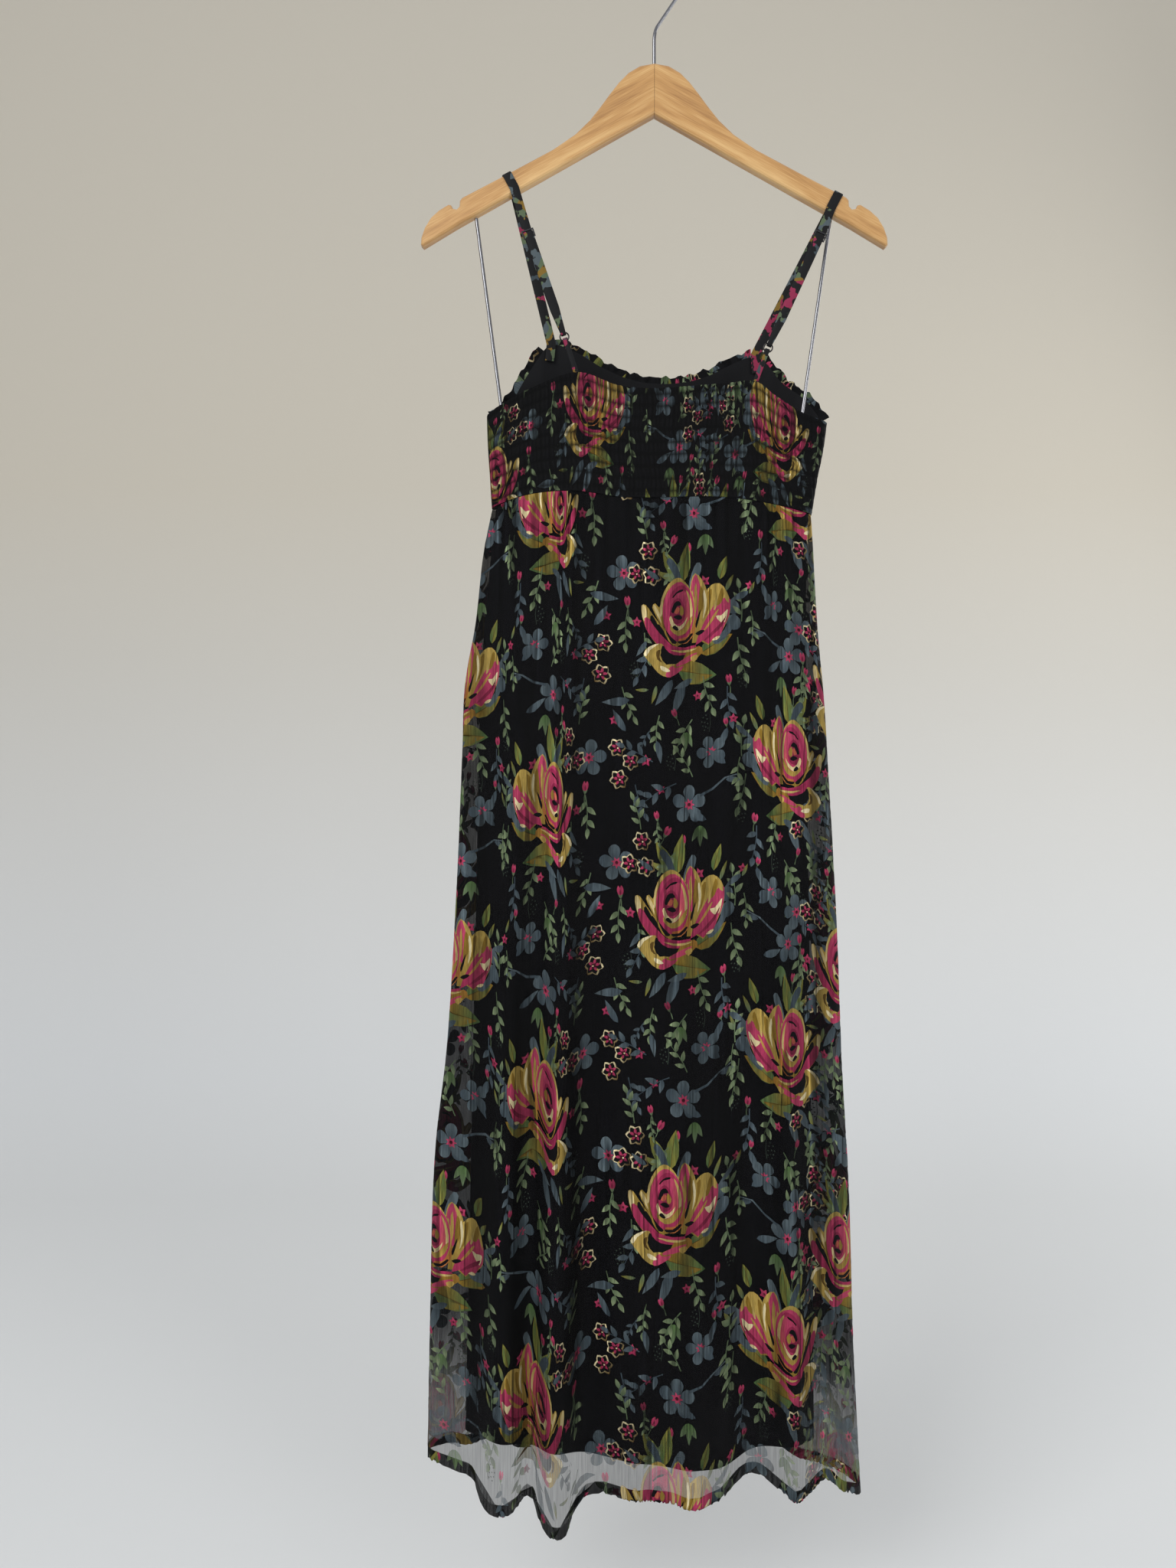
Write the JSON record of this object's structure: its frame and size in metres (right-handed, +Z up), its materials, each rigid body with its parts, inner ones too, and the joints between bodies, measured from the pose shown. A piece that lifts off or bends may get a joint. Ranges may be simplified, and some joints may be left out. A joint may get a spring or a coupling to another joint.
{
  "type": "maxi dress on a wooden hanger",
  "caption": "Sleeveless maxi dress of sheer floral chiffon over black lining, with shirred back, thin straps and fluted hem, on a wooden hanger with hook and drop bar.",
  "frame": {"origin": "inside top of the hanger's hook, where a rail carries it", "axes": "+Z up, +X to the right of someone who looks at the back of the dress, which faces -Y"},
  "size_m": [0.4484, 0.125, 1.4768],
  "materials": {
    "varnished_wood": "satin honey varnish over straight grain",
    "chromed_wire": "bright plated wire",
    "dark_metal": "dark plated",
    "black_plastic": "smooth black",
    "printed_chiffon": "sheer crinkle chiffon, black ground with a floral print of roses, small blossoms and leaves",
    "black_lining": "matt black woven lining"
  },
  "bodies": {
    "root": {"hanger_arm_left": "varnished_wood", "hanger_arm_right": "varnished_wood", "hanger_hook": "chromed_wire", "drop_bar": "chromed_wire", "bodice_back_shirred": "printed_chiffon", "bodice_front": "printed_chiffon", "bodice_front_lining": "black_lining", "neck_ruffle": "printed_chiffon", "armhole_ruffle_left": "printed_chiffon", "armhole_ruffle_right": "printed_chiffon", "skirt_back": "printed_chiffon", "skirt_front": "printed_chiffon", "lining_skirt_back": "black_lining", "lining_skirt_front": "black_lining", "strap_left": "printed_chiffon", "strap_right": "printed_chiffon", "slider_left": "black_plastic", "slider_right": "black_plastic", "ring_left": "dark_metal", "ring_right": "dark_metal", "ring_tab_left": "printed_chiffon", "ring_tab_right": "printed_chiffon"}
  },
  "joints": []
}
